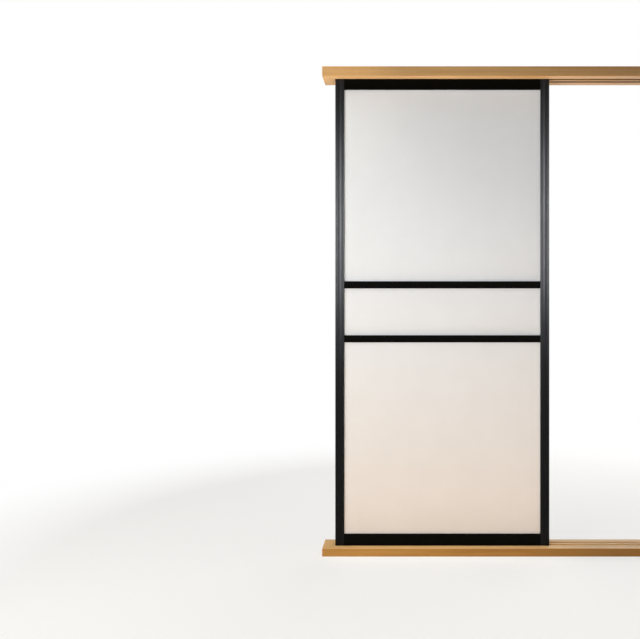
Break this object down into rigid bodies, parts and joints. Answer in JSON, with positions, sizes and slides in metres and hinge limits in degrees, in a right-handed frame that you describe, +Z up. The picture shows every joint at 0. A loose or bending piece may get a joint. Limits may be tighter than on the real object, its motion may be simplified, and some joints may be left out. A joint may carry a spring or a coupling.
{
  "type": "pair of aluminium sliding doors",
  "caption": "Aluminium-framed sliding doors with opal panels and mid rails, on wheels in a grooved timber head and sill with a jamb at the closing end.",
  "frame": {"origin": "bottom centre of the whole frame, on the sill's underside", "axes": "+X along the opening towards the jamb, +Y from the front door to the rear door, +Z up"},
  "size_m": [1.792, 0.13, 1.973],
  "materials": {
    "timber": "planed pale softwood",
    "anodised_frame": "black anodised, satin",
    "opal_panel": "matt opal sheet",
    "gasket": "matt",
    "black_nylon": "moulded",
    "white_nylon": "moulded",
    "steel": "zinc plated"
  },
  "bodies": {
    "frame": {"head": "timber", "sill": "timber", "jamb": "timber", "jamb_screws": "steel"},
    "front_door": {"front_left_stile": "anodised_frame", "front_right_stile": "anodised_frame", "front_top_rail": "anodised_frame", "front_upper_mid_rail": "anodised_frame", "front_lower_mid_rail": "anodised_frame", "front_bottom_rail": "anodised_frame", "front_top_panel": "opal_panel", "front_middle_panel": "opal_panel", "front_bottom_panel": "opal_panel", "front_top_gasket": "gasket", "front_middle_gasket": "gasket", "front_bottom_gasket": "gasket", "front_left_top_guide": "black_nylon", "front_right_top_guide": "black_nylon", "front_left_bottom_cap": "black_nylon", "front_right_bottom_cap": "black_nylon", "front_left_wheel_housing": "black_nylon", "front_right_wheel_housing": "black_nylon", "front_left_axle": "steel", "front_right_axle": "steel", "front_rail_screws": "steel", "front_height_screws": "steel", "front_hole_caps": "black_nylon"},
    "front_left_wheel": {"front_left_wheel": "white_nylon"},
    "front_right_wheel": {"front_right_wheel": "white_nylon"},
    "rear_door": {"rear_left_stile": "anodised_frame", "rear_right_stile": "anodised_frame", "rear_top_rail": "anodised_frame", "rear_upper_mid_rail": "anodised_frame", "rear_lower_mid_rail": "anodised_frame", "rear_bottom_rail": "anodised_frame", "rear_top_panel": "opal_panel", "rear_middle_panel": "opal_panel", "rear_bottom_panel": "opal_panel", "rear_top_gasket": "gasket", "rear_middle_gasket": "gasket", "rear_bottom_gasket": "gasket", "rear_left_top_guide": "black_nylon", "rear_right_top_guide": "black_nylon", "rear_left_bottom_cap": "black_nylon", "rear_right_bottom_cap": "black_nylon", "rear_left_wheel_housing": "black_nylon", "rear_right_wheel_housing": "black_nylon", "rear_left_axle": "steel", "rear_right_axle": "steel", "rear_rail_screws": "steel", "rear_height_screws": "steel", "rear_hole_caps": "black_nylon"},
    "rear_left_wheel": {"rear_left_wheel": "white_nylon"},
    "rear_right_wheel": {"rear_right_wheel": "white_nylon"}
  },
  "joints": [
    {"name": "front_door_slide", "type": "slide", "parent": "frame", "child": "front_door", "axis": [1, 0, 0], "range_m": [0, 0.834]},
    {"name": "front_left_wheel_roll", "type": "hinge", "parent": "front_door", "child": "front_left_wheel", "pos_m": [-0.771, -0.0165, 0.0422], "axis": [0, 1, 0], "continuous": true},
    {"name": "front_right_wheel_roll", "type": "hinge", "parent": "front_door", "child": "front_right_wheel", "pos_m": [-0.051, -0.0165, 0.0422], "axis": [0, 1, 0], "continuous": true},
    {"name": "rear_door_slide", "type": "slide", "parent": "frame", "child": "rear_door", "axis": [1, 0, 0], "range_m": [0, 0.834]},
    {"name": "rear_left_wheel_roll", "type": "hinge", "parent": "rear_door", "child": "rear_left_wheel", "pos_m": [-0.771, 0.0165, 0.0422], "axis": [0, 1, 0], "continuous": true},
    {"name": "rear_right_wheel_roll", "type": "hinge", "parent": "rear_door", "child": "rear_right_wheel", "pos_m": [-0.051, 0.0165, 0.0422], "axis": [0, 1, 0], "continuous": true}
  ],
  "couplings": [
    {"joint": "front_left_wheel_roll", "follows": "front_door_slide", "rad_per_m": 83.333},
    {"joint": "front_right_wheel_roll", "follows": "front_door_slide", "rad_per_m": 83.333},
    {"joint": "rear_left_wheel_roll", "follows": "rear_door_slide", "rad_per_m": 83.333},
    {"joint": "rear_right_wheel_roll", "follows": "rear_door_slide", "rad_per_m": 83.333}
  ]
}
